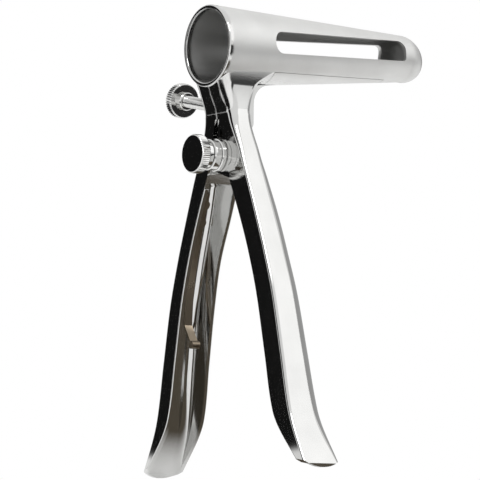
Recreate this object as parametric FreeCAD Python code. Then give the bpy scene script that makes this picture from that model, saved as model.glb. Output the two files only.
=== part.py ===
import FreeCAD, Part
import math
import os

from FreeCAD import Matrix, Rotation, Vector

# Lever-type rectal speculum, in millimetres. X runs along the blades from the mouth to the nose,
# Z is up. The origin lies on the pivot axis, in the flat face of the pivot knob. The near lever is
# at -Y and the far lever is its mirror image at +Y.

os.makedirs("parts", exist_ok=True)

# Tapered tube that the closed blades make
mouth_x = 6.2
mouth_radius = 14.4
mouth_height = 38.1
nose_x = 89.4
nose_radius = 8.36
nose_height = 39.6
nose_droop = 0.17
blade_wall = 1.6

# Side windows of the two lever blades
window_start_x = 26.8
window_end_x = 86.4
window_top_start = mouth_height + 5.2
window_top_end = nose_height + 5.3
window_low_start = mouth_height - 2.6
window_low_end = nose_height - 2.0
window_start_round = 3.7
window_top_round = 2.8
window_low_round = 1.2

# Lower edge of the lever blades, and the centre blade under it
edge_ridge_start = mouth_height - 6.0
edge_ridge_end = nose_height - 7.5
edge_slope = 0.3
centre_sheet_start_x = 29.2
centre_blade_end_x = 80.0
centre_neck_thickness = 1.4
centre_neck_front_x = 11.3
centre_neck_back_x = 25.4
centre_web_round = 7.0
centre_neck_top = 23.2
centre_web_end_x = 42.0
centre_web_depth = 3.5
slot_depth = 3.1
slot_overrun = 3.0

# Clearances
seam_gap = 0.1
blade_gap = 0.15
neck_gap = 0.3
stack_gap = 0.06
hub_gap = 0.4
bore_gap = 0.05
screw_hole_gap = 0.7
spring_gap = 0.25
screw_tip_gap = 0.1

# Levers: neck, hub and channel handle, by height above the pivot axis
lever_front_x = 11.4
front_splay = 1.0
neck_back_x = 19.3
waist_height = 14.0
waist_half_width = 9.2
hub_half_width = 13.4
handle_drop = 109.8
handle_reach = 50.2
handle_end_radius = 13.0
channel_top = -9.0
channel_wall = 1.6
floor_round = 1.2
edge_round = 0.45
gap_top = 12.6
gap_half_width = 3.0
# height, outer y, inner y, front x, back x, open back x, front round, back round
neck_stations = [
    (mouth_height - 4.1, 12.4, 0.0, 5.5, 41.0, 41.0, 3.0, 2.0),
    (mouth_height - 9.6, 10.4, 0.0, 5.7, 28.4, 28.4, 4.2, 2.0),
    (mouth_height - 15.1, 9.4, 0.0, 7.2, 21.4, 21.4, 4.2, 2.2),
    (waist_height, waist_half_width, 0.0, 10.3, neck_back_x, neck_back_x, 3.0, 2.4),
    (0.0, hub_half_width, 1.6, lever_front_x, 20.0, 22.0, 1.6, 2.8),
]
# height, outer y, inner y, back x, open back x, back round
handle_stations = [
    (channel_top, 17.0, 6.8, 20.4, 24.6, 3.0),
    (-20.0, 21.4, 12.1, 21.3, 25.0, 3.0),
    (-35.0, 27.1, 18.2, 22.2, 24.6, 3.0),
    (-50.0, 31.9, 22.9, 22.9, 25.2, 3.0),
    (-70.0, 36.4, 27.3, 24.1, 25.6, 3.0),
    (-90.0, 40.8, 31.8, 25.2, 26.1, 3.0),
    (-handle_drop, handle_reach, 47.6, 25.9, 26.2, 1.1),
]
handle_front_round = 1.1
level_spacing = 5.5

# Pivot stack, from the knob's face backwards
knob_radius = 6.8
knob_width = 3.5
knob_bevel = 0.45
knob_teeth = 60
tooth_depth = 0.28
knob_face_wall = 1.2
collar_radius = 4.9
collar_width = 2.7
spacer_radius = 5.4
washer_radius = 5.7
washer_width = 1.7
boss_tip_y = 8.6
boss_tip_z = -7.0
boss_tip_radius = 2.0
lug_radius = 5.8
lug_width = 2.75
boss_height = 0.45
pin_radius = 2.4
rear_washer_radius = 5.2
rear_washer_width = 1.0
nut_radius = 4.8
nut_width = 2.4

# Spread screw through the far neck
screw_x = 15.8
screw_height = 16.5
screw_tilt = 12.0
screw_radius = 2.1
screw_head_radius = 6.2
screw_head_width = 3.3
screw_face_wall = 1.0
screw_teeth = 48
screw_collar_radius = 3.2
screw_collar_width = 1.8
screw_head_distance = 28.6
screw_tip_round = 0.8

# Leaf spring in the far handle's channel
spring_width = 3.2
spring_thickness = 0.7
spring_top = -11.5
spring_root = -24.0
spring_kink = -57.0
spring_end = -63.5
spring_rise = 3.6
spring_lift = 4.6
curl_radius = 1.4
rivet_heights = [-15.0, -21.0]
rivet_radius = 1.1
rivet_head_radius = 1.9
rivet_head_height = 0.8


def tube_radius(x):
    return mouth_radius + (nose_radius - mouth_radius) * (x - mouth_x) / (nose_x - mouth_x)


def tube_height(x):
    return mouth_height + (nose_height - mouth_height) * (x - mouth_x) / (nose_x - mouth_x)


def ridge_height(x):
    # Top of the space below the blades' lower edges, which follows the tube's axis
    slope = (edge_ridge_end - edge_ridge_start) / (nose_x - mouth_x)
    return edge_ridge_start + slope * (x - mouth_x)


def rounded_wire(corners, radii):
    # Closed outline of straight runs whose corners are tangent arcs of the given radii
    count = len(corners)
    starts = []
    middles = []
    ends = []
    for i in range(count):
        corner = corners[i]
        back = (corners[i - 1] - corner).normalize()
        ahead = (corners[(i + 1) % count] - corner).normalize()
        half = back.getAngle(ahead) / 2
        reach = radii[i] / math.tan(half)
        bisector = (back + ahead).normalize()
        starts.append(corner + back * reach)
        middles.append(corner + bisector * (radii[i] / math.sin(half) - radii[i]))
        ends.append(corner + ahead * reach)
    edges = []
    for i in range(count):
        if radii[i] > 0:
            edges.append(Part.Arc(starts[i], middles[i], ends[i]).toShape())
        edges.append(Part.LineSegment(ends[i], starts[(i + 1) % count]).toShape())
    return Part.Wire(edges)


def side_prism(corners, radii, y_start, y_end):
    # Outline in the XZ plane, carried along Y
    wire = rounded_wire([Vector(x, y_start, z) for x, z in corners], radii)
    return Part.Face(wire).extrude(Vector(0, y_end - y_start, 0))


def front_prism(corners, radii, x_start, x_end, rise=0.0):
    # Outline in the YZ plane, carried along X and by a rise along Z
    wire = rounded_wire([Vector(x_start, y, z) for y, z in corners], radii)
    return Part.Face(wire).extrude(Vector(x_end - x_start, 0, rise))


def cylinder(x_start, x_end, radius):
    return Part.makeCylinder(radius, x_end - x_start, Vector(x_start, 0, 0), Vector(1, 0, 0))


def box(x0, x1, y0, y1, z0, z1):
    return Part.makeBox(x1 - x0, y1 - y0, z1 - z0, Vector(x0, y0, z0))


def knurled_disc(radius, width, teeth):
    # Straight-knurled disc from the origin along X, with bevelled rims
    points = []
    for i in range(teeth):
        for part, reach in ((0, radius), (0.5, radius - tooth_depth)):
            angle = 2 * math.pi * (i + part) / teeth
            points.append(Vector(0, reach * math.cos(angle), reach * math.sin(angle)))
    points.append(points[0])
    prism = Part.Face(Part.makePolygon(points)).extrude(Vector(width, 0, 0))
    blank = cylinder(0, width, radius)
    rims = [edge for edge in blank.Edges if edge.isClosed() and edge.BoundBox.XLength < 0.01]
    return prism.common(blank.makeChamfer(knob_bevel, rims))


def tube_body(inset, x_start):
    # Oblique cone that ends in a drooping round nose
    ends = []
    for x, height, radius in ((x_start, tube_height(x_start), tube_radius(x_start)),
                              (nose_x, nose_height, nose_radius)):
        circle = Part.Circle(Vector(x, 0, height), Vector(1, 0, 0), radius - inset)
        ends.append(Part.Wire([circle.toShape()]))
    cone = Part.makeLoft(ends, True, True)
    ball = Part.makeSphere(nose_radius - inset, Vector(0, 0, 0), Vector(1, 0, 0), 0, 90, 360)
    droop = Matrix()
    droop.A31 = -nose_droop
    nose = ball.transformGeometry(droop)
    nose.translate(Vector(nose_x, 0, nose_height))
    return cone.fuse(nose)


def blade_tube():
    return tube_body(0, mouth_x).cut(tube_body(blade_wall, mouth_x - 1))


def lumen():
    return tube_body(blade_wall, mouth_x - 1)


def side_window():
    corners = [
        (window_start_x, window_low_start),
        (window_start_x, window_top_start),
        (window_end_x, window_top_end),
        (window_end_x, window_low_end),
    ]
    radii = [window_start_round, window_start_round, window_top_round, window_low_round]
    return side_prism(corners, radii, -mouth_radius - 1, 0)


def under_edge(gap):
    # The space below the lever blades' lower edges, behind the necks. Its top is a ridge whose
    # flanks face away from the pivot, so that the blades swing clear of the centre blade
    start_x = centre_sheet_start_x - 2 * blade_gap + gap
    end_x = centre_blade_end_x - gap
    side = mouth_radius + 1
    ridge = ridge_height(start_x) - gap
    corners = [
        (-side, ridge - edge_slope * side),
        (0, ridge),
        (side, ridge - edge_slope * side),
        (side, waist_height),
        (-side, waist_height),
    ]
    return front_prism(corners, [0] * 5, start_x, end_x, ridge_height(end_x) - ridge_height(start_x))


def level_rows(stations):
    # Rows at close levels through the stations: each column is a cubic curve without overshoot
    heights = [row[0] for row in stations]
    levels = []
    for upper, lower in zip(heights, heights[1:]):
        count = max(1, round((upper - lower) / level_spacing))
        levels += [upper + (lower - upper) * k / count for k in range(count)]
    levels.append(heights[-1])
    columns = [through_points(heights, [row[k] for row in stations], levels)
               for k in range(1, len(stations[0]))]
    return list(zip(levels, *columns))


def through_points(xs, ys, places):
    # Values at places of the curve through the points; slopes are harmonic means of the chords'
    count = len(xs) - 1
    steps = [xs[i + 1] - xs[i] for i in range(count)]
    chords = [(ys[i + 1] - ys[i]) / steps[i] for i in range(count)]
    slopes = [chords[0]]
    for before, after in zip(chords, chords[1:]):
        slopes.append(2 * before * after / (before + after) if before * after > 0 else 0.0)
    slopes.append(chords[-1])
    values = []
    for x in places:
        i = 0
        while i < count - 1 and x < xs[i + 1]:
            i += 1
        t = (x - xs[i]) / steps[i]
        value = (2 * t ** 3 - 3 * t ** 2 + 1) * ys[i] + (3 * t ** 2 - 2 * t ** 3) * ys[i + 1]
        value += steps[i] * ((t ** 3 - 2 * t ** 2 + t) * slopes[i] + (t ** 3 - t ** 2) * slopes[i + 1])
        values.append(value)
    return values


def neck_section(height, outer, inner, front, back, open_back, front_round, back_round):
    # One level of the near lever's outer form, drawn at -Y and tapered as the blade tube is
    taper = 0.0
    if height > waist_height:
        taper = (back - front) * (mouth_radius - nose_radius) / (nose_x - mouth_x)
    open_front = front
    if height < waist_height:
        open_front = front - front_splay * min(1.0, (waist_height - height) / (waist_height - channel_top))
    corners = [
        Vector(front, -outer, height),
        Vector(back, taper - outer, height),
        Vector(open_back, -inner, height),
        Vector(open_front, -inner, height),
    ]
    return rounded_wire(corners, [front_round, back_round, edge_round, edge_round])


def lever_form():
    stations = list(neck_stations)
    for height, outer, inner, back, open_back, back_round in handle_stations:
        stations.append((height, outer, inner, lever_front_x, back, open_back,
                         handle_front_round, back_round))
    return Part.makeLoft([neck_section(*row) for row in level_rows(stations)], True, True)


def channel_hollow():
    # The handle's hollow, open towards the other handle and carried on below its end
    last = handle_stations[-1]
    past = [2 * a - b for a, b in zip(last, handle_stations[-2])]
    beyond_end = tuple(a + (b - a) * 0.2 for a, b in zip(last, past))
    sections = []
    for height, outer, inner, back, open_back, back_round in level_rows(handle_stations + [beyond_end]):
        beyond = 3.0
        slope_front = front_splay / (outer - inner)
        slope_back = (open_back - back) / (outer - inner)
        depth = outer - inner + beyond
        corners = [
            Vector(lever_front_x + channel_wall, channel_wall - outer, height),
            Vector(back - channel_wall, channel_wall - outer, height),
            Vector(back - channel_wall + slope_back * depth, beyond - inner, height),
            Vector(lever_front_x + channel_wall - slope_front * depth, beyond - inner, height),
        ]
        sections.append(rounded_wire(corners, [floor_round, floor_round, 0, 0]))
    return Part.makeLoft(sections, True, True)


def teardrop(x_start, x_end):
    # Round boss about the pivot, drawn out to a small round on the handle
    reach = math.hypot(boss_tip_y, boss_tip_z)
    ahead = Vector(0, -boss_tip_y / reach, boss_tip_z / reach)
    across = Vector(0, -ahead.z, ahead.y)
    lean = math.asin((lug_radius - boss_tip_radius) / reach)
    tip = Vector(0, -boss_tip_y, boss_tip_z)
    points = []
    for side in (1, -1):
        normal = ahead * math.sin(lean) + across * (side * math.cos(lean))
        pair = [normal * lug_radius, tip + normal * boss_tip_radius]
        points += pair if side > 0 else pair[::-1]
    corners = [(p.y, p.z) for p in (points[0], points[1], points[2], points[3])]
    web = front_prism(corners, [0, 0, 0, 0], x_start, x_end)
    round_tip = Part.makeCylinder(boss_tip_radius, x_end - x_start, tip + Vector(x_start, 0, 0), Vector(1, 0, 0))
    return web.fuse([cylinder(x_start, x_end, lug_radius), round_tip])


def lug(x_start, x_end):
    # Flat lug on the pivot, rooted in the near lever
    root_y = -(lug_radius + hub_gap + channel_wall)
    root = box(x_start, x_end, root_y, 0, -lug_radius, lug_radius)
    return cylinder(x_start, x_end, lug_radius).fuse(root)


def near_blank():
    # Blade, neck and handle of one lever before its own lug and holes
    blade = blade_tube().cut(side_window())
    form = lever_form().cut([lumen(), channel_hollow()])
    mouth_cut = box(-5, mouth_x, -40, 1, -20, 60)
    seam_cut = box(-5, 110, -seam_gap, 60, -120, 70)
    end_x = (lever_front_x + handle_stations[-1][3]) / 2
    cut_start = -handle_reach - 20
    end_centre = Vector(end_x, cut_start, handle_end_radius - handle_drop)
    end_round = Part.makeCylinder(handle_end_radius, 10 - cut_start, end_centre, Vector(0, 1, 0))
    end_cut = box(-5, 40, cut_start, 10, -handle_drop - 5, handle_end_radius - handle_drop).cut(end_round)
    slot_corners = [
        (centre_neck_front_x - neck_gap, channel_top - 4),
        (centre_neck_front_x - neck_gap, centre_neck_top + neck_gap),
        (21.0, centre_neck_top + neck_gap),
        (centre_sheet_start_x, ridge_height(centre_sheet_start_x) - slot_depth),
        (centre_web_end_x + slot_overrun, ridge_height(centre_web_end_x) - slot_depth),
        (centre_web_end_x + slot_overrun, channel_top - 4),
    ]
    half_slot = centre_neck_thickness / 2 + neck_gap
    slot = side_prism(slot_corners, [0] * 6, -half_slot, 1)
    swing_room = front_prism([
        (-half_slot, gap_top),
        (-gap_half_width, lug_radius + hub_gap),
        (-lug_radius - hub_gap, 0),
        (-lug_radius - hub_gap, -lug_radius),
        (-8.0, -11.0),
        (1.0, -13.0),
        (1.0, gap_top),
    ], [0] * 7, -1, 40)
    hub_room = cylinder(-1, 40, lug_radius + hub_gap)
    cuts = [under_edge(0), mouth_cut, seam_cut, end_cut, slot, swing_room, hub_room]
    return blade.fuse(form).cut(cuts)


collar_end = knob_width + collar_width
near_lug_start = lever_front_x - boss_height
washer_start = near_lug_start - stack_gap - washer_width
spacer_start = collar_end + stack_gap
spacer_width = washer_start - stack_gap - spacer_start
near_lug_end = lever_front_x + lug_width
far_lug_start = near_lug_end + stack_gap
far_lug_end = far_lug_start + lug_width
centre_lug_start = far_lug_end + stack_gap
centre_lug_end = centre_lug_start + lug_width
rear_washer_start = centre_lug_end
nut_start = rear_washer_start + rear_washer_width

screw_axis = Vector(0, -math.cos(math.radians(screw_tilt)), -math.sin(math.radians(screw_tilt)))
screw_centre = Vector(screw_x, 0, screw_height)


def screw_rod(start, end, radius):
    # Rod on the spread screw's axis; distances run from the middle plane out to the head
    base = screw_centre - screw_axis * end
    return Part.makeCylinder(radius, end - start, base, screw_axis)


def near_lever():
    blank = near_blank()
    ear = lug(lever_front_x, near_lug_end).fuse(teardrop(near_lug_start, lever_front_x + channel_wall))
    bore = cylinder(-1, 40, pin_radius + bore_gap)
    return blank.fuse(ear).cut(bore)


def far_lever():
    blank = near_blank().fuse(lug(far_lug_start, far_lug_end))
    mirrored = blank.mirror(Vector(0, 0, 0), Vector(0, 1, 0))
    bore = cylinder(-1, 40, pin_radius + bore_gap)
    holes = [bore, screw_rod(-5, 30, screw_radius + bore_gap)]
    holes += [rivet_rod(height, rivet_radius, -6, 6) for height in rivet_heights]
    return mirrored.cut(holes)


def centre_blade():
    sheet = blade_tube().common(under_edge(blade_gap))
    bottom = mouth_height - mouth_radius
    half = centre_neck_thickness / 2
    web_corners = [
        (centre_neck_front_x, lug_radius + hub_gap),
        (centre_neck_front_x, centre_neck_top),
        (21.0, centre_neck_top),
        (centre_sheet_start_x + 1, ridge_height(centre_sheet_start_x) - centre_web_depth),
        (centre_web_end_x, ridge_height(centre_web_end_x) - centre_web_depth),
        (centre_web_end_x, tube_height(centre_web_end_x) - tube_radius(centre_web_end_x) + 0.3),
        (centre_neck_back_x + 0.3, bottom + 1.4),
        (centre_neck_back_x, 11.0),
        (centre_lug_end, lug_radius),
        (centre_lug_end, 0),
        (centre_lug_start, 0),
        (centre_lug_start, lug_radius + hub_gap),
    ]
    radii = [0, 0, 0, 0, 0, 0, centre_web_round, 3.0, 2.0, 0, 0, 0]
    web = side_prism(web_corners, radii, -half, half).cut(lumen())
    ear = cylinder(centre_lug_start, centre_lug_end, lug_radius)
    screw_hole = screw_rod(-10, 10, screw_radius + screw_hole_gap)
    pin_hole = cylinder(-1, 40, pin_radius)
    return sheet.fuse([web, ear]).cut([screw_hole, pin_hole])


def pivot_pin():
    return cylinder(knob_face_wall + stack_gap, nut_start + nut_width, pin_radius)


def pivot_knob():
    disc = knurled_disc(knob_radius, knob_width, knob_teeth)
    knob = disc.fuse(cylinder(knob_width, collar_end, collar_radius))
    return knob.cut(cylinder(knob_face_wall, collar_end + 1, pin_radius + bore_gap))


def ring(x_start, width, radius, bore):
    return cylinder(x_start, x_start + width, radius).cut(cylinder(x_start - 1, x_start + width + 1, bore))


def end_nut():
    points = []
    for i in range(7):
        angle = math.radians(60 * i + 30)
        points.append(Vector(nut_start, nut_radius * math.cos(angle), nut_radius * math.sin(angle)))
    nut = Part.Face(Part.makePolygon(points)).extrude(Vector(nut_width, 0, 0))
    return nut.cut(cylinder(0, 60, pin_radius))


def screw_shank():
    # The tip's lower corner stops just short of the near neck's slot wall
    tilt = math.radians(screw_tilt)
    half_slot = centre_neck_thickness / 2 + neck_gap
    corner = (screw_radius - screw_tip_round) * math.sin(tilt)
    tip = -(half_slot - screw_tip_gap - corner) / math.cos(tilt)
    end = screw_head_distance + screw_head_width - screw_face_wall - stack_gap
    rod = screw_rod(tip, end, screw_radius)
    ends = [edge for edge in rod.Edges if edge.isClosed()]
    ends.sort(key=lambda edge: edge.CenterOfMass.y)
    return rod.makeChamfer(screw_tip_round, ends[:1])


def screw_head():
    disc = knurled_disc(screw_head_radius, screw_head_width, screw_teeth)
    collar = cylinder(screw_head_width, screw_head_width + screw_collar_width, screw_collar_radius)
    head = disc.fuse(collar).cut(cylinder(screw_face_wall, 20, screw_radius + bore_gap))
    turn = Rotation(Vector(1, 0, 0), screw_axis)
    head.rotate(Vector(0, 0, 0), turn.Axis, math.degrees(turn.Angle))
    head.translate(screw_centre - screw_axis * (screw_head_distance + screw_head_width))
    return head


def outer_line(height):
    # Outer face of the handle's web at a height, between its stations
    for upper, lower in zip(handle_stations, handle_stations[1:]):
        if lower[0] <= height <= upper[0]:
            share = (upper[0] - height) / (upper[0] - lower[0])
            return upper[1] + share * (lower[1] - upper[1])
    return handle_stations[0][1]


def rivet_rod(height, radius, start, end):
    # Rod square to the far handle's web; distances run outwards from the channel floor
    slope = (outer_line(height - 2) - outer_line(height + 2)) / 4
    outward = Vector(0, 1, slope).normalize()
    centre_x = (lever_front_x + handle_stations[1][3]) / 2
    floor = Vector(centre_x, outer_line(height) - channel_wall, height)
    return Part.makeCylinder(radius, end - start, floor + outward * start, outward)


def handle_spring():
    centre_x = (lever_front_x + handle_stations[1][3]) / 2
    x_start = centre_x - spring_width / 2
    heights = [spring_top, -18.0, spring_root, -35.0, -46.0, spring_kink]
    seat = channel_wall + spring_gap
    outer = []
    for z in heights:
        share = max(0.0, (spring_root - z) / (spring_root - spring_kink))
        outer.append(Vector(x_start, outer_line(z) - seat - spring_rise * share ** 1.5, z))
    inner = [p - Vector(0, spring_thickness, 0) for p in outer]
    curves = []
    for points in (outer, inner):
        curve = Part.BSplineCurve()
        curve.interpolate(points)
        curves.append(curve.toShape())
    caps = [Part.LineSegment(outer[0], inner[0]).toShape(), Part.LineSegment(outer[-1], inner[-1]).toShape()]
    face = Part.Face(Part.Wire(Part.__sortEdges__(curves + caps)))
    strip = face.extrude(Vector(spring_width, 0, 0))
    tip_y = outer[-1].y - spring_lift
    kink = front_prism([
        (outer[-1].y, spring_kink),
        (inner[-1].y, spring_kink),
        (tip_y, spring_end),
        (tip_y + spring_thickness, spring_end - 0.3),
    ], [0] * 4, x_start, x_start + spring_width)
    curl = Part.makeCylinder(curl_radius, spring_width, Vector(x_start, tip_y + 0.2, spring_end - 0.6),
                             Vector(1, 0, 0))
    holes = [rivet_rod(height, rivet_radius, -6, 6) for height in rivet_heights]
    return strip.fuse([kink, curl]).cut(holes)


def spring_rivets():
    rivets = []
    for height in rivet_heights:
        shank = rivet_rod(height, rivet_radius, -spring_gap - spring_thickness, channel_wall * 0.9)
        head = rivet_rod(height, rivet_head_radius, -spring_gap - spring_thickness - rivet_head_height,
                         -spring_gap - spring_thickness)
        rivets.append(shank.fuse(head))
    return Part.makeCompound(rivets)


pieces = {
    "near_lever": near_lever(),
    "far_lever": far_lever(),
    "centre_blade": centre_blade(),
    "pivot_pin": pivot_pin(),
    "pivot_knob": pivot_knob(),
    "pivot_spacer": ring(spacer_start, spacer_width, spacer_radius, pin_radius + bore_gap),
    "front_washer": ring(washer_start, washer_width, washer_radius, pin_radius + bore_gap),
    "rear_washer": ring(rear_washer_start, rear_washer_width, rear_washer_radius, pin_radius),
    "pivot_nut": end_nut(),
    "spread_screw_shank": screw_shank(),
    "spread_screw_head": screw_head(),
    "handle_spring": handle_spring(),
    "spring_rivets": spring_rivets(),
}

for name, shape in pieces.items():
    shape.exportStep("parts/" + name + ".step")
    print(name, "solids", len(shape.Solids), "valid", shape.isValid(), "volume", round(shape.Volume, 1))
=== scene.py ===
import math

import bmesh
import bpy
import numpy as np
from mathutils import Matrix, Quaternion, Vector


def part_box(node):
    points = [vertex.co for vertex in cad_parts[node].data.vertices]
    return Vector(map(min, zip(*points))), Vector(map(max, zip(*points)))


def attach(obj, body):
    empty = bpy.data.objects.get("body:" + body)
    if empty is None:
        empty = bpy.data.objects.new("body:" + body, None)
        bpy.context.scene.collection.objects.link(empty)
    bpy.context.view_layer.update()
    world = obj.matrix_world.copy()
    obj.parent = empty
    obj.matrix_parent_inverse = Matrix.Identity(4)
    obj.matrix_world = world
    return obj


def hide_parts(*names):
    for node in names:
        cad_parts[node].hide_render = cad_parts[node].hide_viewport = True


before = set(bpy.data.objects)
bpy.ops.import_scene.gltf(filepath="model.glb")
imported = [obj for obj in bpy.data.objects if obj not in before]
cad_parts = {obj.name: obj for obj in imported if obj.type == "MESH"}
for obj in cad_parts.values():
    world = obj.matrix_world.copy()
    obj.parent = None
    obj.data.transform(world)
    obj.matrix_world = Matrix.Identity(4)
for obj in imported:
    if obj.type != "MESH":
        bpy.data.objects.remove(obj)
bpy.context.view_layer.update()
mm = 0.001    # lengths below are in millimetres and become metres where a mesh is written

# The camera stands where a fit to the photograph puts it
cameraFit = {"place": (-0.79457, -1.18188, -0.17051), "azimuth": 56.0895, "elevation": -6.8275,
             "yaw": 0.0114366, "pitch": -0.0208865, "roll": -0.3916, "lens": 311.6, "sensor": 36.0}

# Closed blades: a slightly oblique cone with a drooping round nose
tube = {"mouthX": 6.2, "mouthRadius": 14.4, "mouthHeight": 38.1, "noseX": 89.4, "noseRadius": 8.36,
        "noseHeight": 39.6, "droop": 0.17, "wall": 1.6, "lip": 0.72, "around": 144, "noseRings": 28}

window = {"startX": 26.8, "endX": 86.4, "topStart": 43.3, "topEnd": 44.9, "lowStart": 35.5, "lowEnd": 37.6,
          "startRound": 3.7, "topRound": 2.8, "lowRound": 1.2}

# Levers by height: outer y, inner y, front x, back x, open back x, front round, back round
lever = {"frontX": 11.4, "splay": 1.0, "waist": 14.0, "channelTop": -9.0, "wall": 1.6, "floorRound": 1.2,
         "backFloorRound": 3.2,
         "edgeRound": 0.45, "seam": 0.1, "drop": 109.8, "endRound": 13.0, "levels": 150, "arc": 12,
         "neck": [(34.0, 12.4, 0.0, 5.5, 41.0, 41.0, 3.0, 2.0), (28.5, 10.4, 0.0, 5.7, 28.4, 28.4, 4.2, 2.0),
                  (23.0, 9.4, 0.0, 7.2, 21.4, 21.4, 4.2, 2.2), (14.0, 9.2, 0.0, 10.3, 19.3, 19.3, 3.0, 2.4),
                  (0.0, 13.4, 1.6, 11.4, 20.0, 22.0, 1.6, 2.8)],
         "handle": [(-9.0, 17.0, 6.8, 11.4, 20.4, 24.6, 1.1, 4.0), (-20.0, 21.4, 12.1, 11.4, 21.3, 25.0, 1.1, 5.0),
                    (-35.0, 27.1, 18.2, 11.4, 22.2, 24.6, 1.1, 5.4), (-50.0, 31.9, 22.9, 11.4, 22.9, 25.2, 1.1, 5.6),
                    (-70.0, 36.4, 27.3, 11.4, 24.1, 25.6, 1.1, 5.8), (-90.0, 40.8, 31.8, 11.4, 25.2, 26.1, 1.1, 5.4),
                    (-109.8, 50.2, 47.6, 11.4, 25.9, 26.2, 1.1, 1.1)]}

hinge = {"lugRadius": 5.8, "hubGap": 0.4, "boss": 0.45, "lugWidth": 2.75, "gap": 0.06, "gapTop": 12.6,
         "gapHalfWidth": 3.0, "tipY": 8.6, "tipZ": -7.0, "tipRadius": 2.0, "bore": 2.45, "pin": 2.4}

centre = {"sheetStart": 29.2, "bladeEnd": 80.0, "ridge": 32.1, "slope": 0.3, "bladeGap": 0.15, "neckGap": 0.3,
          "thickness": 1.4, "frontX": 11.3, "backX": 25.4, "top": 23.2, "webRound": 7.0}

screw = {"x": 15.8, "height": 16.5, "tilt": 12.0, "radius": 2.1, "hole": 2.15, "wideHole": 2.8,
         "headDistance": 28.6, "headWidth": 3.3, "headRadius": 6.2, "collarRadius": 3.2, "collarWidth": 1.8,
         "faceWall": 1.0, "teeth": 48, "pitch": 0.75, "depth": 0.3, "start": -0.644, "chamfer": 0.8}


def throughPoints(xs, ys, places):
    # Cubic between points whose slopes are the harmonic means of the neighbouring chords
    xs, ys = np.asarray(xs, float), np.asarray(ys, float)
    step = np.diff(xs)
    chord = np.diff(ys, axis=0) / step[:, None]
    before, after = chord[:-1], chord[1:]
    both = before * after > 0
    middle = np.where(both, 2 * before * after / np.where(both, before + after, 1.0), 0.0)
    slope = np.vstack([chord[:1], middle, chord[-1:]])
    cell = np.clip(np.searchsorted(-xs, -places, side="right") - 1, 0, len(step) - 1)
    t = ((places - xs[cell]) / step[cell])[:, None]
    size = step[cell][:, None]
    rise = (2 * t ** 3 - 3 * t ** 2 + 1) * ys[cell] + (3 * t ** 2 - 2 * t ** 3) * ys[cell + 1]
    return rise + size * ((t ** 3 - 2 * t ** 2 + t) * slope[cell] + (t ** 3 - t ** 2) * slope[cell + 1])


def roundedOutline(corners, radii, count):
    # Each corner becomes an arc turned from its first tangent point to its second one
    corners, radii = np.asarray(corners, float), np.maximum(np.asarray(radii, float), 0.02)[..., None]
    back = np.roll(corners, 1, axis=-2) - corners
    ahead = np.roll(corners, -1, axis=-2) - corners
    back /= np.linalg.norm(back, axis=-1, keepdims=True)
    ahead /= np.linalg.norm(ahead, axis=-1, keepdims=True)
    half = np.arccos(np.clip((back * ahead).sum(-1, keepdims=True), -1, 1)) / 2
    bisector = back + ahead
    bisector /= np.linalg.norm(bisector, axis=-1, keepdims=True)
    middle = corners + bisector * radii / np.sin(half)
    first = corners + back * radii / np.tan(half) - middle
    last = corners + ahead * radii / np.tan(half) - middle
    sweep = (math.pi - 2 * half)[..., None, :]
    t = np.linspace(0, 1, count)[:, None]
    arc = (np.sin((1 - t) * sweep) * first[..., None, :] + np.sin(t * sweep) * last[..., None, :]) / np.sin(sweep)
    points = middle[..., None, :] + arc
    return points.reshape(points.shape[:-3] + (-1, 2))


def meshFromRings(name, rings):
    # Grid of rings joined by quads, with a flat face over each end
    count, around = rings.shape[:2]
    index = np.arange(count * around).reshape(count, around)
    low, high = index[:-1], index[1:]
    quads = np.stack([low, np.roll(low, -1, 1), np.roll(high, -1, 1), high], -1).reshape(-1, 4)
    faces = quads.tolist() + [index[0][::-1].tolist(), index[-1].tolist()]
    mesh = bpy.data.meshes.new(name)
    mesh.from_pydata((rings.reshape(-1, 3) * mm).tolist(), [], faces)
    shape = bmesh.new()
    shape.from_mesh(mesh)
    bmesh.ops.recalc_face_normals(shape, faces=shape.faces)
    shape.to_mesh(mesh)
    shape.free()
    piece = bpy.data.objects.new(name, mesh)
    bpy.context.scene.collection.objects.link(piece)
    return piece


def alongY(name, outline, start, end):
    # Outline in x and z, carried along y
    ring = np.stack([outline[:, 0], np.zeros(len(outline)), outline[:, 1]], -1)
    return meshFromRings(name, np.stack([ring + (0, start, 0), ring + (0, end, 0)]))


def alongX(name, outline, start, end):
    # Outline in y and z, carried along x
    ring = np.stack([np.zeros(len(outline)), outline[:, 0], outline[:, 1]], -1)
    return meshFromRings(name, np.stack([ring + (start, 0, 0), ring + (end, 0, 0)]))


def circleOutline(radius, count=96):
    angle = np.linspace(0, 2 * math.pi, count, endpoint=False)
    return np.stack([radius * np.cos(angle), radius * np.sin(angle)], -1)


def blockBetween(name, low, high):
    outline = np.array([(low[0], low[2]), (high[0], low[2]), (high[0], high[2]), (low[0], high[2])], float)
    return alongY(name, outline, low[1], high[1])


def combine(base, tools, operation):
    # Joins, cuts or keeps the common part, then drops the tools
    for tool in tools:
        step = base.modifiers.new(operation, "BOOLEAN")
        step.operation = operation
        step.solver = "MANIFOLD"
        step.object = tool
    bakeModifiers(base)
    for tool in tools:
        bpy.data.objects.remove(tool)
    return base


def bakeModifiers(piece):
    view = bpy.context.evaluated_depsgraph_get()
    finished = bpy.data.meshes.new_from_object(piece.evaluated_get(view))
    piece.modifiers.clear()
    piece.data = finished


def screwLine():
    tilt = math.radians(screw["tilt"])
    return np.array([0, -math.cos(tilt), -math.sin(tilt)]), np.array([screw["x"], 0, screw["height"]])


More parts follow.
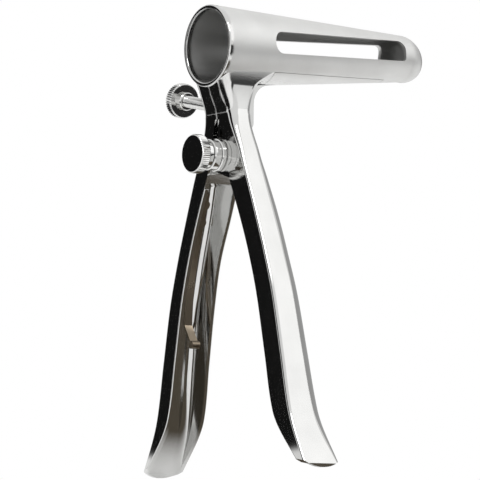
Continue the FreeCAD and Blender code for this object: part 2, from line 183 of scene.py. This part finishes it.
def turned(name, stations, base, axis, around=96, teeth=0, depth=0.0):
    # Circles about an axis: distance along it, radius and share of the tooth depth at each station
    stations = np.asarray(stations, float)
    axis = np.asarray(axis, float)
    side = np.cross(axis, (1.0, 0, 0) if abs(axis[0]) < 0.9 else (0, 0, 1.0))
    side /= np.linalg.norm(side)
    other = np.cross(axis, side)
    angle = np.linspace(0, 2 * math.pi, around, endpoint=False)
    wave = np.abs(((angle * teeth / (2 * math.pi)) % 1) * 2 - 1) if teeth else np.zeros(around)
    radius = stations[:, 1:2] - stations[:, 2:3] * depth * wave[None, :]
    flat = np.cos(angle)[:, None] * side + np.sin(angle)[:, None] * other
    rings = np.asarray(base) + stations[:, 0, None, None] * axis + radius[..., None] * flat[None]
    return meshFromRings(name, rings)


def bladeTube(name, inset, startX):
    # Solid body of the closed blades: circles along the cone, then shrinking round the nose
    share = np.linspace(0, 1, 24)
    x = startX + (tube["noseX"] - startX) * share
    along = (x - tube["mouthX"]) / (tube["noseX"] - tube["mouthX"])
    radius = tube["mouthRadius"] + (tube["noseRadius"] - tube["mouthRadius"]) * along - inset
    height = tube["mouthHeight"] + (tube["noseHeight"] - tube["mouthHeight"]) * along
    turn = np.linspace(0, math.pi / 2 - 0.012, tube["noseRings"])[1:]
    ball = tube["noseRadius"] - inset
    x = np.concatenate([x, tube["noseX"] + ball * np.sin(turn)])
    radius = np.concatenate([radius, ball * np.cos(turn)])
    height = np.concatenate([height, tube["noseHeight"] - tube["droop"] * ball * np.sin(turn)])
    # The mouth's rim is a half round: the outside curls in and the inside curls out to meet it
    lip = tube["lip"]
    bend = np.linspace(0, math.pi / 2, 7)
    curl = lip * (1 - np.sin(bend)) * (-1 if inset == 0 else 1)
    edge = tube["mouthX"] + lip * (1 - np.cos(bend))
    keep = x > tube["mouthX"] + lip * 1.2
    first = radius[0] if inset == 0 else tube["mouthRadius"] - inset
    before = [] if inset == 0 else [tube["mouthX"] - 1]
    x = np.concatenate([before, edge, x[keep]])
    radius = np.concatenate([[first + lip] * len(before), first + curl, radius[keep]])
    height = np.concatenate([np.full(len(before) + 7, tube["mouthHeight"]), height[keep]])
    angle = np.linspace(0, 2 * math.pi, tube["around"], endpoint=False)
    rings = np.stack(np.broadcast_arrays(
        x[:, None], radius[:, None] * np.cos(angle), height[:, None] + radius[:, None] * np.sin(angle)), -1)
    return meshFromRings(name, rings)


def leverForm():
    # Outer form of neck and handle: a rounded four-cornered outline at each of many heights
    rows = np.array(lever["neck"] + lever["handle"])
    heights = np.linspace(rows[0, 0], rows[-1, 0], lever["levels"])
    outer, inner, front, back, openBack, frontRound, backRound = throughPoints(rows[:, 0], rows[:, 1:], heights).T
    slant = (tube["mouthRadius"] - tube["noseRadius"]) / (tube["noseX"] - tube["mouthX"])
    taper = np.where(heights > lever["waist"], (back - front) * slant, 0.0)
    lowering = np.clip((lever["waist"] - heights) / (lever["waist"] - lever["channelTop"]), 0, 1)
    corners = np.stack([np.stack([front, -outer], -1), np.stack([back, taper - outer], -1),
                        np.stack([openBack, -inner], -1), np.stack([front - lever["splay"] * lowering, -inner], -1)], 1)
    edge = np.full(len(heights), lever["edgeRound"])
    flat = roundedOutline(corners, np.stack([frontRound, backRound, edge, edge], -1), lever["arc"])
    rings = np.concatenate([flat, np.broadcast_to(heights[:, None, None], flat.shape[:2] + (1,))], -1)
    return meshFromRings("leverForm", rings)


def channelHollow():
    # The handle's hollow, a wall's thickness inside the form and open on the inner side
    rows = np.array(lever["handle"])
    rows = np.vstack([rows, rows[-1] + 0.2 * (rows[-1] - rows[-2])])
    heights = np.linspace(rows[0, 0], rows[-1, 0], lever["levels"])
    outer, inner, front, back, openBack = throughPoints(rows[:, 0], rows[:, 1:], heights).T[:5]
    wall, beyond = lever["wall"], 3.0
    deep = outer - inner + beyond
    lean, spread = (openBack - back) / (outer - inner), lever["splay"] / (outer - inner)
    corners = np.stack([np.stack([front + wall, wall - outer], -1), np.stack([back - wall, wall - outer], -1),
                        np.stack([back - wall + lean * deep, beyond - inner], -1),
                        np.stack([front + wall - spread * deep, beyond - inner], -1)], 1)
    rounds = np.broadcast_to(np.array([lever["floorRound"], lever["backFloorRound"], 0.05, 0.05]), (len(heights), 4))
    flat = roundedOutline(corners, rounds, lever["arc"])
    rings = np.concatenate([flat, np.broadcast_to(heights[:, None, None], flat.shape[:2] + (1,))], -1)
    return meshFromRings("channelHollow", rings)


def underEdge(gap):
    # Space below the lever blades' lower edges, roof-shaped
    side = tube["mouthRadius"] + 1
    ridge = centre["ridge"] - gap
    low = ridge - centre["slope"] * side
    outline = np.array([(-side, low), (0, ridge), (side, low), (side, lever["waist"]), (-side, lever["waist"])])
    return alongX("underEdge", outline, centre["sheetStart"] - 2 * centre["bladeGap"] + gap, centre["bladeEnd"] - gap)


def sideWindow():
    corners = [(window["startX"], window["lowStart"]), (window["startX"], window["topStart"]),
               (window["endX"], window["topEnd"]), (window["endX"], window["lowEnd"])]
    rounds = [window["startRound"], window["startRound"], window["topRound"], window["lowRound"]]
    return alongY("sideWindow", roundedOutline(corners, rounds, 12), -tube["mouthRadius"] - 1, 1)


def endTrim():
    # What lies below the rounded foot of the handle
    middle = (lever["frontX"] + lever["handle"][-1][4]) / 2
    radius = lever["endRound"]
    bend = np.linspace(math.pi, 2 * math.pi, 60)
    arc = np.stack([middle + radius * np.cos(bend), radius - lever["drop"] + radius * np.sin(bend)], -1)
    outer = np.array([(middle + 30, radius - lever["drop"]), (middle + 30, -lever["drop"] - 6),
                      (middle - 30, -lever["drop"] - 6), (middle - 30, radius - lever["drop"])])
    return alongY("endTrim", np.vstack([arc, outer]), -70, 10)


def neckSlot():
    front = centre["frontX"] - centre["neckGap"]
    top = centre["top"] + centre["neckGap"]
    outline = np.array([(front, -13), (front, top), (21.0, top), (centre["sheetStart"], 29.0), (45.0, 29.0),
                        (45.0, -13)])
    return alongY("neckSlot", outline, -centre["thickness"] / 2 - centre["neckGap"], 1)


def swingRoom():
    half = centre["thickness"] / 2 + centre["neckGap"]
    wide = hinge["lugRadius"] + hinge["hubGap"]
    outline = np.array([(-half, hinge["gapTop"]), (-hinge["gapHalfWidth"], wide), (-wide, 0),
                        (-wide, -hinge["lugRadius"]), (-8.0, -11.0), (1.0, -13.0), (1.0, hinge["gapTop"])])
    return alongX("swingRoom", outline, -1, 40)


def teardrop(start, end):
    # Round boss drawn out to a small round: two arcs joined by their common tangents
    reach = math.hypot(hinge["tipY"], hinge["tipZ"])
    heading = math.atan2(hinge["tipZ"], -hinge["tipY"])
    lean = math.asin((hinge["lugRadius"] - hinge["tipRadius"]) / reach)
    turn = math.pi / 2 - lean
    wide = np.linspace(heading + turn, heading + 2 * math.pi - turn, 80)
    tight = np.linspace(heading - turn, heading + turn, 30)
    big = hinge["lugRadius"] * np.stack([np.cos(wide), np.sin(wide)], -1)
    small = (-hinge["tipY"], hinge["tipZ"]) + hinge["tipRadius"] * np.stack([np.cos(tight), np.sin(tight)], -1)
    return alongX("teardrop", np.vstack([big, small]), start, end)


def lug(start, end):
    root = hinge["lugRadius"] + hinge["hubGap"] + lever["wall"]
    ear = alongX("ear", circleOutline(hinge["lugRadius"]), start, end)
    return [ear, blockBetween("root", (start, -root, -hinge["lugRadius"]), (end, 0, hinge["lugRadius"]))]


def leverBlank(name):
    # One lever at -y before its own holes: blade and form joined, then cut clear of its neighbours
    form = combine(leverForm(), [bladeTube("lumen", tube["wall"], tube["mouthX"] - 1), channelHollow()], "DIFFERENCE")
    blank = bladeTube(name, 0, tube["mouthX"])
    combine(blank, [bladeTube("lumen", tube["wall"], tube["mouthX"] - 1), sideWindow()], "DIFFERENCE")
    combine(blank, [form], "UNION")
    cuts = [underEdge(0), blockBetween("mouthCut", (-5, -40, -20), (tube["mouthX"], 1, 60)),
            blockBetween("seamCut", (-5, -lever["seam"], -120), (110, 60, 70)), endTrim(), neckSlot(), swingRoom(),
            alongX("hubRoom", circleOutline(hinge["lugRadius"] + hinge["hubGap"]), -1, 40)]
    return combine(blank, cuts, "DIFFERENCE")


def finishSteel(piece, bevel=0.16, sharp=34):
    # Breaks the sharp edges, keeps the broad faces flat and the curved ones smooth
    shape = bmesh.new()
    shape.from_mesh(piece.data)
    bmesh.ops.remove_doubles(shape, verts=shape.verts, dist=2e-6)
    bmesh.ops.dissolve_degenerate(shape, edges=shape.edges, dist=2e-6)
    bmesh.ops.recalc_face_normals(shape, faces=shape.faces)
    shape.to_mesh(piece.data)
    shape.free()
    if bevel:
        edge = piece.modifiers.new("edgeBreak", "BEVEL")
        edge.width = bevel * mm
        edge.segments = 2
        edge.limit_method = "ANGLE"
        edge.angle_limit = math.radians(sharp + 8)
        edge.use_clamp_overlap = True
        edge.miter_outer = "MITER_ARC"
        bakeModifiers(piece)
    piece.data.shade_smooth()
    piece.data.set_sharp_from_angle(angle=math.radians(sharp))
    even = piece.modifiers.new("evenShade", "WEIGHTED_NORMAL")
    even.keep_sharp = True
    even.weight = 60
    bakeModifiers(piece)
    return piece


def mirrored(piece):
    piece.data.transform(Matrix.Diagonal((1, -1, 1, 1)))
    piece.data.flip_normals()
    return piece


def place(piece, body, node, slotName, material):
    piece.data.materials.clear()
    piece.data.materials.append(material)
    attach(piece, body)
    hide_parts(*([node] if isinstance(node, str) else node))


# Finishes: values of each metal, then the nodes that all of them share. Satin lies between the levels satinFrom
# and satinTo and higher, behind the rim, where the colour is raised as painted light; within the blades the colour
# keeps only its given share, as painted shade
rim = {"polished": 7.4, "satin": 8.6, "edge": 0.2}
finishes = {
    "leverSteel": {"colour": (0.66, 0.66, 0.65), "satin": 0.46, "polish": 0.06, "satinFrom": 24.5, "satinTo": 30.0,
                   "paintedLight": 1.12, "insideShade": 0.62, "grain": 0.05},
    "polishedSteel": {"colour": (0.70, 0.70, 0.69), "satin": 0.12, "polish": 0.07, "satinFrom": 200, "satinTo": 210,
                      "paintedLight": 1.0, "insideShade": 1.0, "grain": 0.03},
    "springSteel": {"colour": (0.24, 0.20, 0.15), "satin": 0.32, "polish": 0.25, "satinFrom": 200, "satinTo": 210,
                    "paintedLight": 1.0, "insideShade": 1.0, "grain": 0.08},
}


def metal(name):
    values = finishes[name]
    material = bpy.data.materials.new(name)
    material.use_nodes = True
    nodes, links = material.node_tree.nodes, material.node_tree.links
    shader = nodes["Principled BSDF"]
    shader.inputs["Metallic"].default_value = 1.0
    place = nodes.new("ShaderNodeTexCoord")
    split = nodes.new("ShaderNodeSeparateXYZ")
    links.new(place.outputs["Object"], split.inputs[0])
    def ranged(socket, low, high, first=0.0, last=1.0):
        node = nodes.new("ShaderNodeMapRange")
        for label, value in (("From Min", low), ("From Max", high), ("To Min", first), ("To Max", last)):
            node.inputs[label].default_value = value
        links.new(socket, node.inputs["Value"])
        return node.outputs["Result"]

    def maths(operation, first, second, third=0.0):
        node = nodes.new("ShaderNodeMath")
        node.operation = operation
        for socket, value in zip(node.inputs, (first, second, third)):
            if isinstance(value, float):
                socket.default_value = value
            else:
                links.new(value, socket)
        return node.outputs["Value"]

    # Satin high up and behind the rim, mirror polish elsewhere
    above = ranged(split.outputs["Z"], values["satinFrom"] * mm, values["satinTo"] * mm)
    share = maths("MULTIPLY", above, ranged(split.outputs["X"], rim["polished"] * mm, rim["satin"] * mm))
    roughness = ranged(share, 0.0, 1.0, values["polish"], values["satin"])
    # Distance from the blades' axis, evened for their taper, tells the shell's hollow from its outer face; the hollow
    # gets painted shade
    slope = (tube["mouthRadius"] - tube["noseRadius"]) / (tube["noseX"] - tube["mouthX"])
    climb = (tube["noseHeight"] - tube["mouthHeight"]) / (tube["noseX"] - tube["mouthX"])
    axisHeight = (tube["mouthHeight"] - climb * tube["mouthX"]) * mm
    rise = maths("SUBTRACT", maths("MULTIPLY_ADD", split.outputs["X"], -climb, split.outputs["Z"]), axisHeight)
    square = maths("MULTIPLY_ADD", rise, rise, maths("MULTIPLY", split.outputs["Y"], split.outputs["Y"]))
    reach = maths("MULTIPLY_ADD", split.outputs["X"], slope, maths("SQRT", square, 0.0))
    middle = (tube["mouthRadius"] - 0.7 * tube["wall"] + tube["mouthX"] * slope) * mm
    insideShade = maths("MULTIPLY", above, ranged(reach, middle - rim["edge"] * mm, middle + rim["edge"] * mm, 1.0, 0.0))
    cloud = nodes.new("ShaderNodeTexNoise")    # handling marks and uneven polish
    cloud.inputs["Scale"].default_value = 90.0
    cloud.inputs["Detail"].default_value = 5.0
    links.new(place.outputs["Object"], cloud.inputs["Vector"])
    uneven = nodes.new("ShaderNodeMath")
    uneven.operation = "MULTIPLY_ADD"
    uneven.inputs[1].default_value = values["grain"]
    links.new(cloud.outputs["Fac"], uneven.inputs[0])
    links.new(roughness, uneven.inputs[2])
    links.new(uneven.outputs["Value"], shader.inputs["Roughness"])
    tint = nodes.new("ShaderNodeMix")
    tint.data_type = "RGBA"
    tint.inputs["A"].default_value = (*values["colour"], 1)
    tint.inputs["B"].default_value = (*[0.82 * c for c in values["colour"]], 1)
    links.new(cloud.outputs["Fac"], tint.inputs["Factor"])
    colour = tint.outputs["Result"]
    # Painted light and shade: the satin zone's colour is raised a little as painted light, and the shell's hollow is
    # darkened as painted shade
    for factor, strength in ((share, values["paintedLight"]), (insideShade, values["insideShade"])):
        paintedLight = nodes.new("ShaderNodeMix")
        paintedLight.data_type = "RGBA"
        paintedLight.blend_type = "MULTIPLY"
        paintedLight.inputs["B"].default_value = (strength, strength, strength, 1)
        links.new(factor, paintedLight.inputs["Factor"])
        links.new(colour, paintedLight.inputs["A"])
        colour = paintedLight.outputs["Result"]
    links.new(colour, shader.inputs["Base Color"])
    stretch = nodes.new("ShaderNodeMapping")    # fine polishing lines run along the blades
    stretch.inputs["Scale"].default_value = (300, 5000, 5000)
    links.new(place.outputs["Object"], stretch.inputs["Vector"])
    lines = nodes.new("ShaderNodeTexNoise")
    lines.inputs["Scale"].default_value = 1.0
    lines.inputs["Detail"].default_value = 3.0
    links.new(stretch.outputs["Vector"], lines.inputs["Vector"])
    bump = nodes.new("ShaderNodeBump")
    bump.inputs["Strength"].default_value = values["grain"]
    bump.inputs["Distance"].default_value = 0.00002
    links.new(lines.outputs["Fac"], bump.inputs["Height"])
    links.new(bump.outputs["Normal"], shader.inputs["Normal"])
    return material


leverSteel = metal("leverSteel")
polishedSteel = metal("polishedSteel")
springSteel = metal("springSteel")
print("finishes made")

lugStart = lever["frontX"]
lugEnd = lugStart + hinge["lugWidth"]
blank = leverBlank("nearLever")
farBlank = blank.copy()
farBlank.data = blank.data.copy()
farBlank.name = "farLever"
bpy.context.scene.collection.objects.link(farBlank)

near = combine(blank, lug(lugStart, lugEnd) + [teardrop(lugStart - hinge["boss"], lugStart + lever["wall"])], "UNION")
combine(near, [alongX("bore", circleOutline(hinge["bore"]), -1, 40)], "DIFFERENCE")
place(finishSteel(near), "near", "near_lever", "lever_steel", leverSteel)
print("near lever made", len(near.data.polygons))

farStart = lugEnd + hinge["gap"]
far = combine(farBlank, lug(farStart, farStart + hinge["lugWidth"]), "UNION")
mirrored(far)
line, screwBase = screwLine()
farHole = turned("farHole", [(-30, screw["hole"], 0), (5, screw["hole"], 0)], screwBase, line)
combine(far, [alongX("bore", circleOutline(hinge["bore"]), -1, 40), farHole], "DIFFERENCE")
place(finishSteel(far), "far", "far_lever", "lever_steel", leverSteel)
print("far lever made", len(far.data.polygons))


def centreBlade():
    # Sheet of the tube below the levers' edges, with a flat web down to the pivot's ear
    start = farStart + hinge["lugWidth"] + hinge["gap"]
    end = start + hinge["lugWidth"]
    sheet = combine(bladeTube("centreBlade", 0, tube["mouthX"]), [underEdge(centre["bladeGap"])], "INTERSECT")
    share = (42.0 - tube["mouthX"]) / (tube["noseX"] - tube["mouthX"])
    under = (tube["mouthHeight"] + share * (tube["noseHeight"] - tube["mouthHeight"])
             - tube["mouthRadius"] - share * (tube["noseRadius"] - tube["mouthRadius"]) + 0.3)
    bottom = tube["mouthHeight"] - tube["mouthRadius"]
    clear = hinge["lugRadius"] + hinge["hubGap"]
    corners = [(centre["frontX"], clear), (centre["frontX"], centre["top"]), (21.0, centre["top"]),
               (centre["sheetStart"] + 1, 28.6), (42.0, 28.6), (42.0, under), (centre["backX"] + 0.3, bottom + 1.4),
               (centre["backX"], 11.0), (end, hinge["lugRadius"]), (end, 0), (start, 0), (start, clear)]
    rounds = [0, 0, 0, 0, 0, 0, centre["webRound"], 3.0, 2.0, 0, 0, 0]
    half = centre["thickness"] / 2
    web = alongY("web", roundedOutline(corners, rounds, 9), -half, half)
    ear = alongX("ear", circleOutline(hinge["lugRadius"]), start, end)
    combine(sheet, [web, ear], "UNION")
    hole = turned("hole", [(-10, screw["wideHole"], 0), (10, screw["wideHole"], 0)], screwBase, line)
    cuts = [bladeTube("lumen", tube["wall"], tube["mouthX"] - 1), hole,
            alongX("bore", circleOutline(hinge["pin"]), -1, 40)]
    return combine(sheet, cuts, "DIFFERENCE")


blade = centreBlade()
place(finishSteel(blade, 0.12), "centre", "centre_blade", "lever_steel", leverSteel)
print("centre blade made", len(blade.data.polygons))


def nodeAlongX(node):
    # Start, end and radius of a turned CAD node whose axis is the pivot
    low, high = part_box(node)
    return low.x / mm, high.x / mm, (high.z - low.z) / 2 / mm


def turnedNode(name, node, body, bevel, bore=0.0):
    # A bevelled ring in the node's own place
    start, end, radius = nodeAlongX(node)
    profile = [(start, radius - bevel, 0), (start + bevel, radius, 0), (end - bevel, radius, 0),
               (end, radius - bevel, 0)]
    piece = turned(name, profile, (0, 0, 0), (1, 0, 0))
    if bore:
        combine(piece, [alongX("bore", circleOutline(bore), start - 1, end + 1)], "DIFFERENCE")
    place(finishSteel(piece, 0), body, node, "polished_steel", polishedSteel)


knob = {"width": 3.5, "bevel": 0.45, "teeth": 60, "depth": 0.28, "faceWall": 1.2, "collarRadius": 4.9,
        "collarBevel": 0.35, "bore": 2.45}


def knurledKnob(name, profile, base, axis, teeth, depth, boreStart, boreEnd, boreRadius):
    # Toothed rim between smooth bevels, with a collar behind and a blind bore
    piece = turned(name, profile, base, axis, teeth * 8, teeth, depth)
    bore = turned("bore", [(boreStart, boreRadius, 0), (boreEnd, boreRadius, 0)], base, axis)
    return finishSteel(combine(piece, [bore], "DIFFERENCE"), 0, 28)


start, end, radius = nodeAlongX("pivot_knob")
width, bevel, collar = knob["width"], knob["bevel"], knob["collarRadius"]
profile = [(0, radius - bevel, 0), (bevel * 0.5, radius - bevel * 0.5, 0.3), (bevel, radius, 1),
           (width - bevel, radius, 1),
           (width, radius - bevel, 0), (width, collar, 0), (end - knob["collarBevel"], collar, 0),
           (end, collar - knob["collarBevel"], 0)]
pivotKnob = knurledKnob("pivotKnob", profile, (0, 0, 0), (1, 0, 0), knob["teeth"], knob["depth"], knob["faceWall"],
                        end + 1, knob["bore"])
place(pivotKnob, "knob", "pivot_knob", "polished_steel", polishedSteel)
turnedNode("pivotSpacer", "pivot_spacer", "knob_spacer", 0.3, hinge["bore"])
turnedNode("frontWasher", "front_washer", "centre", 0.3, hinge["bore"])
turnedNode("rearWasher", "rear_washer", "centre", 0.2, hinge["pin"])
turnedNode("pivotPin", "pivot_pin", "centre", 0.3)
print("pivot stack made")


def threadedShank():
    # Radius falls by the thread's depth along a helix and smoothly to nothing at both ends
    line, base = screwLine()
    start = screw["start"]
    end = screw["headDistance"] + screw["headWidth"] - screw["faceWall"] - 0.06
    along = np.linspace(start, end, 460)
    angle = np.linspace(0, 2 * math.pi, 48, endpoint=False)
    turn = along[:, None] / screw["pitch"] + angle[None, :] / (2 * math.pi)
    groove = 1 - np.abs((turn % 1) * 2 - 1)
    plain = np.clip((along - start - screw["chamfer"]) / 0.6, 0, 1) * np.clip((end - 3 - along) / 0.6, 0, 1)
    taper = np.clip(1 - (along - start) / screw["chamfer"], 0, 1) * screw["chamfer"]
    radius = screw["radius"] - taper[:, None] - screw["depth"] * groove ** 1.4 * plain[:, None]
    side = np.cross(line, (1.0, 0, 0))
    other = np.cross(line, side)
    flat = np.cos(angle)[:, None] * side + np.sin(angle)[:, None] * other
    rings = base - along[:, None, None] * line + radius[..., None] * flat[None]
    return meshFromRings("spreadScrewShank", rings)


shank = threadedShank()
place(finishSteel(shank, 0, 40), "screw", "spread_screw_shank", "polished_steel", polishedSteel)

line, screwBase = screwLine()
headBase = screwBase - line * (screw["headDistance"] + screw["headWidth"])
width, radius, bevel = screw["headWidth"], screw["headRadius"], knob["bevel"]
total = width + screw["collarWidth"]
profile = [(0, radius - bevel, 0), (bevel * 0.5, radius - bevel * 0.5, 0.3), (bevel, radius, 1),
           (width - bevel, radius, 1),
           (width, radius - bevel, 0), (width, screw["collarRadius"], 0), (total - 0.3, screw["collarRadius"], 0),
           (total, screw["collarRadius"] - 0.3, 0)]
screwHead = knurledKnob("spreadScrewHead", profile, headBase, line, screw["teeth"], knob["depth"], screw["faceWall"],
                        total + 1, screw["hole"])
place(screwHead, "screw_knob", "spread_screw_head", "polished_steel", polishedSteel)
print("spread screw made")

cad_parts["pivot_nut"].data.materials.clear()
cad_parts["pivot_nut"].data.materials.append(polishedSteel)
for node in ("handle_spring", "spring_rivets"):
    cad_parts[node].data.materials.clear()
    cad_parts[node].data.materials.append(springSteel)

# Stage: a floor seen only from above, soft-edged cards that only reflections see, lamps and a white world
stage = {"floorDrop": 109.9, "floorSize": 3.0, "cardDistance": 2.0, "cardStep": 0.05, "lowCardHeight": -0.1085,
         "worldDiffuse": 0.72}
# Azimuth from +x, elevation, half width and half height in degrees, colour
cards = [(124, 7, 26, 32, (0.010, 0.010, 0.010)), (184, 7, 19, 30, (0.015, 0.015, 0.015)),
         (-48, 33, 18, 27, (1.5, 1.5, 1.5)), (16, 17, 52, 19, (0.46, 0.46, 0.46))]
# Flat cards just above the floor: middle in metres, length, width, turn in degrees, colour
lowCards = [(0.088, -0.072, 0.29, 0.14, -51, (0.10, 0.085, 0.065)),
            (0.30, -0.46, 0.60, 0.34, -51, (0.03, 0.03, 0.03)),
            (-0.50, 0.80, 1.6, 0.86, 120, (0.012, 0.012, 0.012)),
            (-0.74, -0.07, 1.25, 0.62, 186, (0.012, 0.012, 0.012))]
horizonCard = {"place": (0.42, -0.50, -0.045), "size": (0.95, 0.17), "colour": (0.06, 0.06, 0.06)}


def cardSurface(name, colour, size):
    # Glow that fades out towards an oval edge, worked out from the card's own coordinates
    material = bpy.data.materials.new(name)
    material.use_nodes = True
    nodes, links = material.node_tree.nodes, material.node_tree.links
    nodes.clear()
    out = nodes.new("ShaderNodeOutputMaterial")
    shine = nodes.new("ShaderNodeEmission")
    strength = max(1.0, max(colour))
    shine.inputs["Color"].default_value = (*[c / strength for c in colour], 1)
    shine.inputs["Strength"].default_value = strength
    spot = nodes.new("ShaderNodeTexCoord")
    squeeze = nodes.new("ShaderNodeMapping")
    squeeze.inputs["Scale"].default_value = (2 / size[0], 2 / size[1], 1)
    reach = nodes.new("ShaderNodeVectorMath")
    reach.operation = "LENGTH"
    fade = nodes.new("ShaderNodeMapRange")
    fade.interpolation_type = "SMOOTHSTEP"
    fade.inputs["From Min"].default_value = 0.78
    fade.inputs["From Max"].default_value = 1.0
    clear = nodes.new("ShaderNodeBsdfTransparent")
    mix = nodes.new("ShaderNodeMixShader")
    links.new(spot.outputs["Object"], squeeze.inputs["Vector"])
    links.new(squeeze.outputs["Vector"], reach.inputs[0])
    links.new(reach.outputs["Value"], fade.inputs["Value"])
    links.new(fade.outputs["Result"], mix.inputs["Fac"])
    links.new(shine.outputs[0], mix.inputs[1])
    links.new(clear.outputs[0], mix.inputs[2])
    links.new(mix.outputs[0], out.inputs["Surface"])
    return material


def floorSurface():
    # White to the camera and to reflections, soft shadow otherwise, and open from below
    material = bpy.data.materials.new("floorWhite")
    material.use_nodes = True
    nodes, links = material.node_tree.nodes, material.node_tree.links
    nodes.clear()
    out = nodes.new("ShaderNodeOutputMaterial")
    white = nodes.new("ShaderNodeBsdfDiffuse")
    white.inputs["Color"].default_value = (0.9, 0.9, 0.9, 1)
    glow = nodes.new("ShaderNodeEmission")
    glow.inputs["Strength"].default_value = 0.28
    both = nodes.new("ShaderNodeAddShader")
    clear = nodes.new("ShaderNodeBsdfTransparent")
    side = nodes.new("ShaderNodeNewGeometry")
    mix = nodes.new("ShaderNodeMixShader")
    links.new(white.outputs[0], both.inputs[0])
    links.new(glow.outputs[0], both.inputs[1])
    links.new(side.outputs["Backfacing"], mix.inputs["Fac"])
    links.new(both.outputs[0], mix.inputs[1])
    links.new(clear.outputs[0], mix.inputs[2])
    links.new(mix.outputs[0], out.inputs["Surface"])
    return material


def sheetAt(name, centrePoint, normal, size, material, turn=0):
    # Rectangle about a point, facing along the normal and turned about it
    mesh = bpy.data.meshes.new(name)
    wide, high = size[0] / 2, size[1] / 2
    mesh.from_pydata([(-wide, -high, 0), (wide, -high, 0), (wide, high, 0), (-wide, high, 0)], [], [(0, 1, 2, 3)])
    piece = bpy.data.objects.new(name, mesh)
    bpy.context.scene.collection.objects.link(piece)
    piece.location = centrePoint
    piece.rotation_mode = "QUATERNION"
    spin = Quaternion((0, 0, 1), math.radians(turn))
    piece.rotation_quaternion = spin if abs(normal[2]) == 1 else Vector(normal).to_track_quat("Z", "Y") @ spin
    mesh.materials.append(material)
    return piece


floor = sheetAt("floor", (0.02, 0, -stage["floorDrop"] * mm), (0, 0, 1), (stage["floorSize"],) * 2, floorSurface())


def onlyReflected(card):
    card.visible_camera = False
    card.visible_diffuse = False
    card.visible_transmission = False
    card.visible_shadow = False


for number, (azimuth, elevation, halfWide, halfHigh, colour) in enumerate(cards):
    azimuth, elevation = math.radians(azimuth), math.radians(elevation)
    level = math.cos(elevation)
    heading = Vector((math.cos(azimuth) * level, math.sin(azimuth) * level, math.sin(elevation)))
    distance = stage["cardDistance"] + stage["cardStep"] * number
    size = [2 * distance * math.tan(math.radians(half)) for half in (halfWide, halfHigh)]
    card = sheetAt("card%d" % number, heading * distance, -heading, size, cardSurface("card%d" % number, colour, size))
    onlyReflected(card)
for number, (x, y, length, width, turn, colour) in enumerate(lowCards):
    surface = cardSurface("lowCard%d" % number, colour, (length, width))
    spot = (x, y, stage["lowCardHeight"])
    onlyReflected(sheetAt("lowCard%d" % number, spot, (0, 0, 1), (length, width), surface, turn))
surface = cardSurface("horizonCard", horizonCard["colour"], horizonCard["size"])
onlyReflected(sheetAt("horizonCard", horizonCard["place"], -Vector(horizonCard["place"]), horizonCard["size"],
                      surface))

world = bpy.data.worlds.new("studio")
bpy.context.scene.world = world
world.use_nodes = True
nodes, links = world.node_tree.nodes, world.node_tree.links
sky = nodes["Background"]
path = nodes.new("ShaderNodeLightPath")
seen = nodes.new("ShaderNodeMath")
seen.operation = "MAXIMUM"
links.new(path.outputs["Is Camera Ray"], seen.inputs[0])
links.new(path.outputs["Is Glossy Ray"], seen.inputs[1])
through = nodes.new("ShaderNodeMath")
through.operation = "MAXIMUM"
links.new(seen.outputs[0], through.inputs[0])
links.new(path.outputs["Is Transmission Ray"], through.inputs[1])
level = nodes.new("ShaderNodeMapRange")
level.inputs["To Min"].default_value = stage["worldDiffuse"]
level.inputs["To Max"].default_value = 1.0
links.new(through.outputs[0], level.inputs["Value"])
links.new(level.outputs["Result"], sky.inputs["Strength"])
sky.inputs["Color"].default_value = (1, 1, 1, 1)


def softLamp(name, placeAt, target, size, power):
    lamp = bpy.data.lights.new(name, "AREA")
    lamp.size = size
    lamp.energy = power
    holder = bpy.data.objects.new(name, lamp)
    bpy.context.scene.collection.objects.link(holder)
    holder.location = placeAt
    holder.rotation_mode = "QUATERNION"
    holder.rotation_quaternion = (Vector(target) - Vector(placeAt)).to_track_quat("-Z", "Y")


softLamp("keyLamp", (-0.5, -1.0, 1.1), (0.03, 0, 0), 0.6, 9)
print("stage and lamps made")

azimuth, elevation = math.radians(cameraFit["azimuth"]), math.radians(cameraFit["elevation"])
ahead = Vector((math.cos(azimuth) * math.cos(elevation), math.sin(azimuth) * math.cos(elevation), -math.sin(elevation)))
right = ahead.cross(Vector((0, 0, 1))).normalized()
ahead = (ahead + cameraFit["yaw"] * right + cameraFit["pitch"] * right.cross(ahead)).normalized()
level = ahead.cross(Vector((0, 0, 1))).normalized()
upright = level.cross(ahead)
roll = math.radians(cameraFit["roll"])
right = math.cos(roll) * level + math.sin(roll) * upright
upright = math.cos(roll) * upright - math.sin(roll) * level
lens = bpy.data.cameras.new("camera")
lens.sensor_width = cameraFit["sensor"]
lens.lens = cameraFit["lens"]
lens.clip_end = 50
camera = bpy.data.objects.new("camera", lens)
bpy.context.scene.collection.objects.link(camera)
camera.matrix_world = Matrix((right, upright, -ahead)).transposed().to_4x4()
camera.location = cameraFit["place"]
bpy.context.scene.camera = camera
bpy.context.scene.view_settings.view_transform = "Standard"
print("camera placed")
